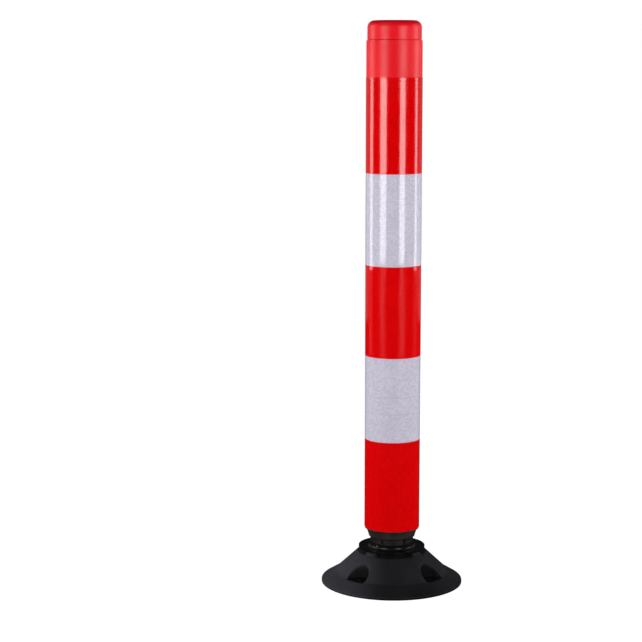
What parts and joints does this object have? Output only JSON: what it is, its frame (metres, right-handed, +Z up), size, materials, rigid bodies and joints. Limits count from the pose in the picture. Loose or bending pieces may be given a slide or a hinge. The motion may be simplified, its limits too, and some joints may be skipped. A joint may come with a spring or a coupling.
{
  "type": "delineator post",
  "caption": "Self-righting traffic delineator post with reflective bands, a flexible neck and a twist lock on a bolt-down rubber foot.",
  "frame": {"origin": "centre of the foot's underside, on the ground", "axes": "+Z up along the post; -Y is the front, with two bolt pockets either side of it"},
  "size_m": [0.2526, 0.2526, 1],
  "materials": {
    "foot_rubber": "fine moulded texture",
    "ring_nylon": "matt",
    "washer_rubber": "matt",
    "lock_nylon": "gloss",
    "mark_paint": "matt",
    "steel": "zinc plated",
    "neck_rubber": "satin",
    "red_plastic": "satin",
    "cap_plastic": "satin",
    "red_film": "microprismatic film",
    "white_film": "microprismatic film"
  },
  "bodies": {
    "foot": {"foot": "foot_rubber", "socket_ring": "ring_nylon", "seat_washer": "washer_rubber"},
    "lock": {"lock_plate": "lock_nylon", "alignment_mark": "mark_paint", "lower_plate": "steel", "lower_screws": "steel", "lower_washers": "steel"},
    "neck": {"flex_neck": "neck_rubber"},
    "post": {"upper_plate": "steel", "upper_screws": "steel", "upper_washers": "steel", "tube_plug": "ring_nylon", "plug_screws": "steel", "tube": "red_plastic", "cap": "cap_plastic", "film_red_bottom": "red_film", "film_white_lower": "white_film", "film_red_middle": "red_film", "film_white_upper": "white_film", "film_red_top": "red_film"}
  },
  "joints": [
    {"name": "lock_turn", "type": "hinge", "parent": "foot", "child": "lock", "pos_m": [0, 0, 0.042], "axis": [0, 0, 1], "range_deg": [0, 45]},
    {"name": "bend_fore", "type": "hinge", "parent": "lock", "child": "neck", "pos_m": [0, 0, 0.08], "axis": [1, 0, 0], "range_deg": [-20, 20], "stiffness_Nm_per_rad": 120, "deforming": ["flex_neck"]},
    {"name": "bend_side", "type": "hinge", "parent": "neck", "child": "post", "pos_m": [0, 0, 0.092], "axis": [0, 1, 0], "range_deg": [-20, 20], "stiffness_Nm_per_rad": 120, "deforming": ["flex_neck"]}
  ]
}
